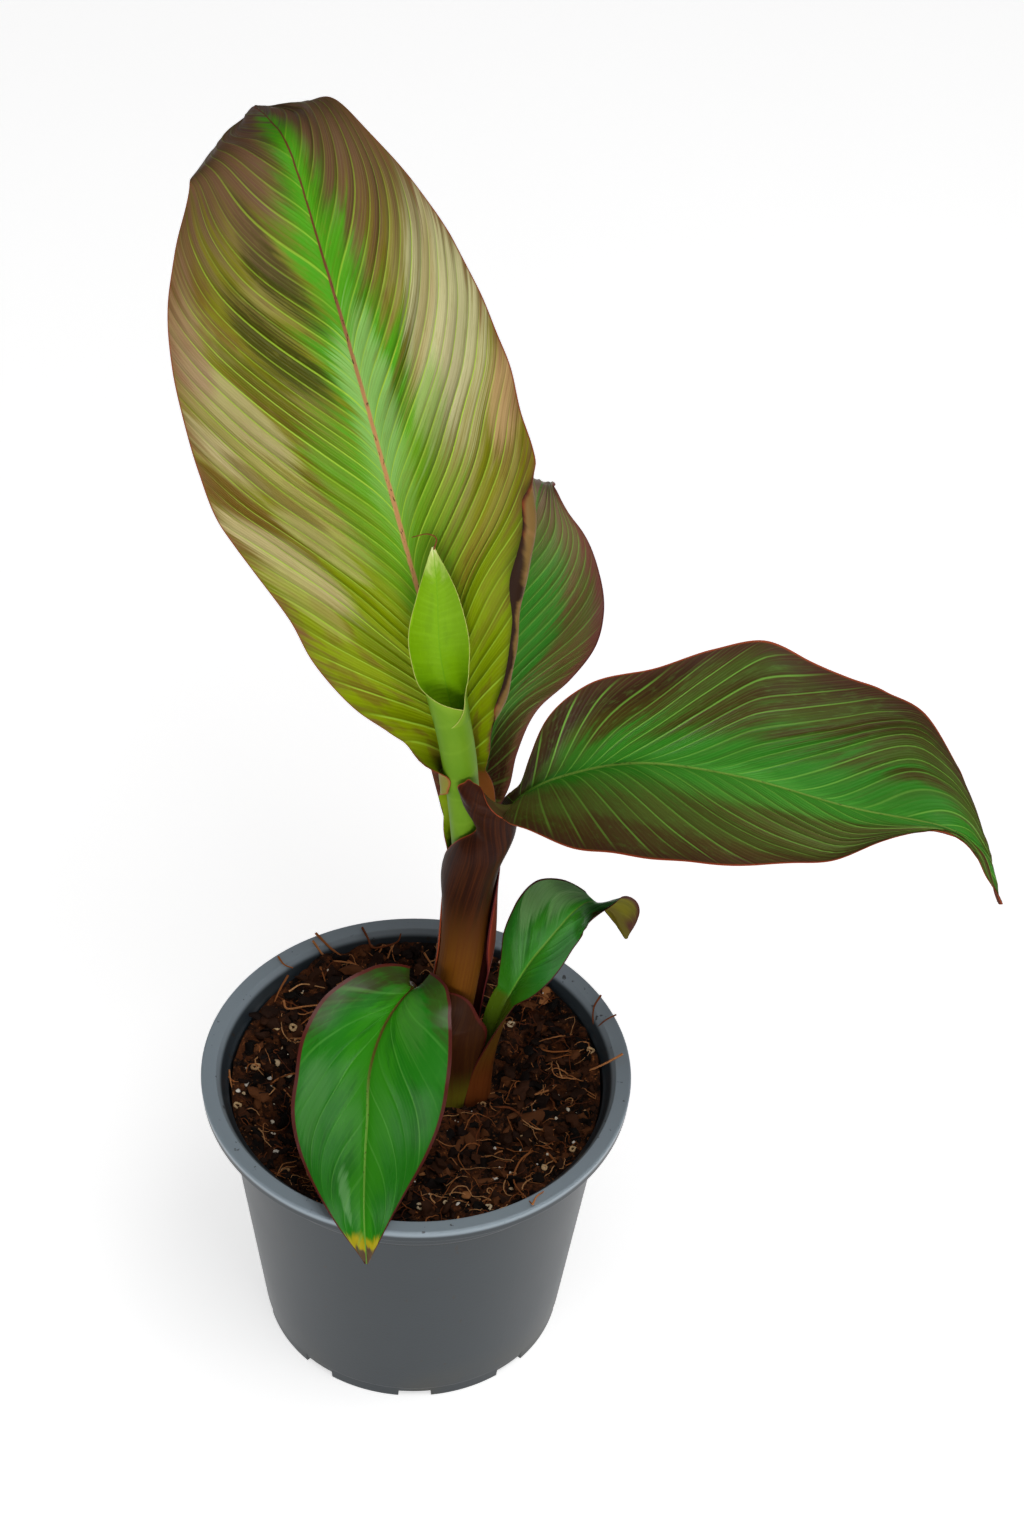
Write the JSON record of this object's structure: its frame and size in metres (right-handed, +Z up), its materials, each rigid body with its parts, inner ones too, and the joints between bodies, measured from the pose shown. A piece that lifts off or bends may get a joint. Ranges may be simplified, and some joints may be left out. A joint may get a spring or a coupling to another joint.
{
  "type": "potted banana plant",
  "caption": "Young red-leaved banana plant with broad arching leaves on a stem of wrapped sheaths, growing in a round tapered plastic nursery pot of potting mix.",
  "frame": {"origin": "centre of the pot's flat underside", "axes": "+Z up, out of the pot; -Y towards the plant's front, where the oldest leaf hangs over the rim; +X towards the leaf that arches to the right"},
  "size_m": [0.3438, 0.2598, 0.5634],
  "materials": {
    "pot": "moulded slate grey plastic, scuffed",
    "soil": "moist peat mix with fibres and white grains",
    "stem": "smooth wrapped sheaths",
    "stalk": "smooth, dark red-brown to olive",
    "leaf": "satin leaf with ribbed veins and a red margin",
    "young_leaf": "satin rolled young leaf"
  },
  "bodies": {
    "root": {"pot": "pot", "soil": "soil", "stem": "stem", "front_leaf_stalk": "stalk", "front_leaf": "leaf", "low_right_leaf_stalk": "stalk", "low_right_leaf": "leaf", "low_right_leaf_tip": "leaf", "back_leaf_stalk": "stalk", "back_leaf": "leaf", "right_leaf_stalk": "stalk", "right_leaf": "leaf", "tall_leaf_stalk": "stalk", "tall_leaf": "leaf", "spear_leaf": "young_leaf"}
  },
  "joints": []
}
